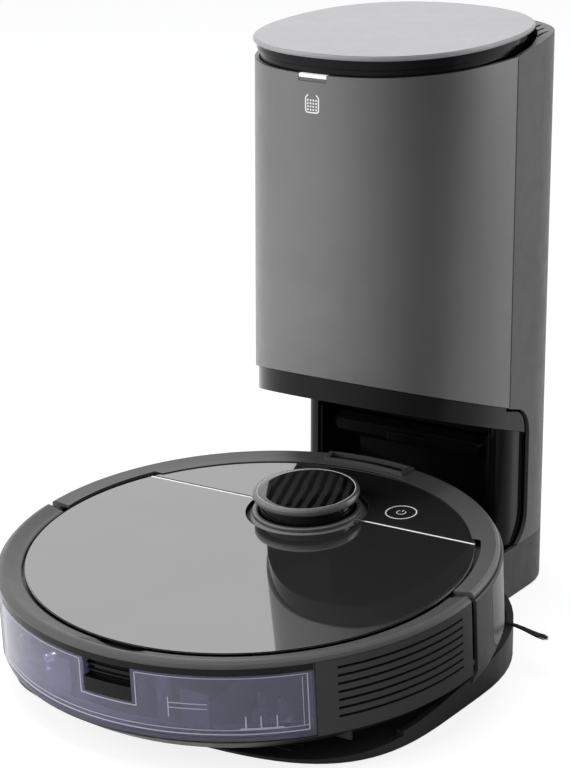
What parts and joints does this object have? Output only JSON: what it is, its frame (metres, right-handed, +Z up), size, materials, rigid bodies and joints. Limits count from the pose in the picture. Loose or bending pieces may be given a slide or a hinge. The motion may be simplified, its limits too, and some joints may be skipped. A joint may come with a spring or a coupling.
{
  "type": "robot vacuum",
  "caption": "Round robot vacuum with a lidar turret and a clear rear water tank, parked on the ramp of a tall self-emptying station.",
  "frame": {"origin": "on the floor below the middle of the parked robot, on the base plate's middle foot", "axes": "+Y towards the tower, +X to the right of someone who faces the tower, +Z up"},
  "size_m": [0.3574, 0.4935, 0.43],
  "materials": {
    "ramp_black": "fine grained black plastic",
    "rubber_black": "matte rubber",
    "foot_grey": "fine grained dark grey plastic",
    "tower_grey": "fine grained grey plastic",
    "cover_metallic": "satin metallic grey film",
    "gloss_black": "polished black",
    "lid_silver": "satin light grey metallic paint",
    "ir_black": "infrared window",
    "light_lens": "milky light lens",
    "duct_grey": "plain moulded plastic",
    "bag_paper": "non-woven dust bag paper",
    "card_grey": "pressed card",
    "filter_paper": "pleated filter paper",
    "motor_metal": "motor casing",
    "contact_brass": "plated contact",
    "pin_steel": "ground pin",
    "body_black": "fine grained black plastic",
    "case_grey": "satin dark grey plastic",
    "bumper_grey": "satin dark grey plastic",
    "lid_black": "polished dark lid",
    "bright_strip": "bright strip",
    "turret_silver": "satin silver grey",
    "tank_clear": "tinted clear polycarbonate",
    "bin_smoke": "smoked plastic",
    "brush_blue": "brush rubber",
    "bristle_black": "nylon bristles",
    "tyre_black": "treaded tyre",
    "battery_wrap": "shrink wrap"
  },
  "bodies": {
    "station": {"base_plate": "ramp_black", "base_feet": "rubber_black", "foot_block": "foot_grey", "tower_housing": "tower_grey", "front_cover": "cover_metallic", "gloss_band": "gloss_black", "dock_frame": "gloss_black", "cavity_liner": "gloss_black", "dock_module": "gloss_black", "ir_window": "ir_black", "suction_seal": "rubber_black", "air_duct": "duct_grey", "bag_chamber": "duct_grey", "suction_motor": "motor_metal", "exhaust_filter": "filter_paper", "top_collar": "gloss_black", "indicator_light": "light_lens", "mains_inlet": "body_black"},
    "station_lid": {"station_lid": "lid_silver", "lid_rim": "gloss_black", "station_hinge_pin": "pin_steel"},
    "bag": {"dust_bag": "bag_paper", "bag_card": "card_grey"},
    "station_fan": {"motor_impeller": "motor_metal"},
    "contacts": {"charge_contacts": "contact_brass"},
    "robot": {"chassis": "body_black", "top_case": "case_grey", "side_panel_left": "body_black", "side_panel_right": "body_black", "front_deck": "lid_black", "turret_ring": "turret_silver", "lidar_window": "ir_black", "lidar_cap": "turret_silver", "fan_housing": "duct_grey", "brush_cover": "body_black", "battery": "battery_wrap", "charge_pads": "contact_brass"},
    "flip_lid": {"robot_lid": "lid_black", "lid_strip": "bright_strip"},
    "bin": {"dust_bin": "bin_smoke", "bin_cover": "body_black", "bin_filter": "filter_paper"},
    "tank": {"water_tank": "tank_clear"},
    "latch": {"tank_latch": "gloss_black"},
    "bumper": {"bumper_cap": "case_grey", "bumper_wall": "bumper_grey", "bumper_window": "bumper_grey", "dock_sensor": "ir_black"},
    "button": {"power_button": "lid_black"},
    "lidar": {"lidar_rotor": "body_black"},
    "fan": {"fan_impeller": "motor_metal"},
    "main_brush": {"main_brush": "brush_blue"},
    "side_brush_left": {"side_brush_left": "bristle_black"},
    "side_brush_right": {"side_brush_right": "bristle_black"},
    "arm_left": {"wheel_arm_left": "duct_grey"},
    "arm_right": {"wheel_arm_right": "duct_grey"},
    "wheel_left": {"wheel_left": "tyre_black"},
    "wheel_right": {"wheel_right": "tyre_black"},
    "caster": {"caster_fork": "body_black"},
    "caster_wheel": {"caster_wheel": "body_black"}
  },
  "joints": [
    {"name": "undock", "type": "slide", "parent": "station", "child": "robot", "axis": [0, -0.9962, -0.0872], "range_m": [0, 0.11]},
    {"name": "station_lid_hinge", "type": "hinge", "parent": "station", "child": "station_lid", "pos_m": [0, 0.302, 0.4211], "axis": [-1, 0, 0], "range_deg": [0, 75]},
    {"name": "bag_lift", "type": "slide", "parent": "station", "child": "bag", "axis": [0, 0, 1], "range_m": [0, 0.06]},
    {"name": "station_fan_spin", "type": "hinge", "parent": "station", "child": "station_fan", "pos_m": [0.044, 0.27, 0.13], "axis": [0, 0, 1], "continuous": true},
    {"name": "contact_press", "type": "slide", "parent": "station", "child": "contacts", "axis": [0, 0.0872, -0.9962], "range_m": [0, 0.003], "stiffness_N_per_m": 200, "springref_m": -0.002},
    {"name": "flip_lid_hinge", "type": "hinge", "parent": "robot", "child": "flip_lid", "pos_m": [0, 0.07017, 0.09643], "axis": [-1, 0, 0], "range_deg": [0, 75]},
    {"name": "bin_lift", "type": "slide", "parent": "robot", "child": "bin", "axis": [0, -0.0872, 0.9962], "range_m": [0, 0.05]},
    {"name": "tank_pull", "type": "slide", "parent": "robot", "child": "tank", "axis": [0, -0.9962, -0.0872], "range_m": [0, 0.08]},
    {"name": "latch_press", "type": "slide", "parent": "tank", "child": "latch", "axis": [0, 0.9962, 0.0872], "range_m": [0, 0.003], "stiffness_N_per_m": 300, "springref_m": -0.002},
    {"name": "bumper_press", "type": "slide", "parent": "robot", "child": "bumper", "axis": [0, -0.9962, -0.0872], "range_m": [0, 0.004], "stiffness_N_per_m": 600, "springref_m": -0.002},
    {"name": "button_press", "type": "slide", "parent": "robot", "child": "button", "axis": [0, 0.0872, -0.9962], "range_m": [0, 0.001], "stiffness_N_per_m": 400, "springref_m": -0.001},
    {"name": "lidar_spin", "type": "hinge", "parent": "robot", "child": "lidar", "pos_m": [0, 0.07017, 0.09643], "axis": [0, -0.0872, 0.9962], "continuous": true},
    {"name": "fan_spin", "type": "hinge", "parent": "robot", "child": "fan", "pos_m": [0.109, -0.07701, 0.04842], "axis": [0, -0.0872, 0.9962], "continuous": true},
    {"name": "main_brush_spin", "type": "hinge", "parent": "robot", "child": "main_brush", "pos_m": [0, 0.00605, 0.03761], "axis": [1, 0, 0], "continuous": true},
    {"name": "side_brush_left_spin", "type": "hinge", "parent": "robot", "child": "side_brush_left", "pos_m": [-0.112, 0.0942, 0.02826], "axis": [0, -0.0872, 0.9962], "continuous": true},
    {"name": "side_brush_right_spin", "type": "hinge", "parent": "robot", "child": "side_brush_right", "pos_m": [0.112, 0.0942, 0.02826], "axis": [0, -0.0872, 0.9962], "continuous": true},
    {"name": "arm_left_bounce", "type": "hinge", "parent": "robot", "child": "arm_left", "pos_m": [-0.127, 0.02716, 0.0488], "axis": [-1, 0, 0], "range_deg": [0, 5], "stiffness_Nm_per_rad": 2, "springref_deg": -17.19},
    {"name": "arm_right_bounce", "type": "hinge", "parent": "robot", "child": "arm_right", "pos_m": [0.127, 0.02716, 0.0488], "axis": [-1, 0, 0], "range_deg": [0, 5], "stiffness_Nm_per_rad": 2, "springref_deg": -17.19},
    {"name": "wheel_left_spin", "type": "hinge", "parent": "arm_left", "child": "wheel_left", "pos_m": [-0.127, -0.01269, 0.04531], "axis": [1, 0, 0], "continuous": true},
    {"name": "wheel_right_spin", "type": "hinge", "parent": "arm_right", "child": "wheel_right", "pos_m": [0.127, -0.01269, 0.04531], "axis": [1, 0, 0], "continuous": true},
    {"name": "caster_swivel", "type": "hinge", "parent": "robot", "child": "caster", "pos_m": [0, 0.13374, 0.04678], "axis": [0, -0.0872, 0.9962], "continuous": true},
    {"name": "caster_roll", "type": "hinge", "parent": "caster", "child": "caster_wheel", "pos_m": [0, 0.13164, 0.03635], "axis": [1, 0, 0], "continuous": true}
  ],
  "couplings": [
    {"joint": "bag_lift", "follows": "station_lid_hinge", "m_per_rad": 0.045836},
    {"joint": "bin_lift", "follows": "flip_lid_hinge", "m_per_rad": 0.038196}
  ]
}
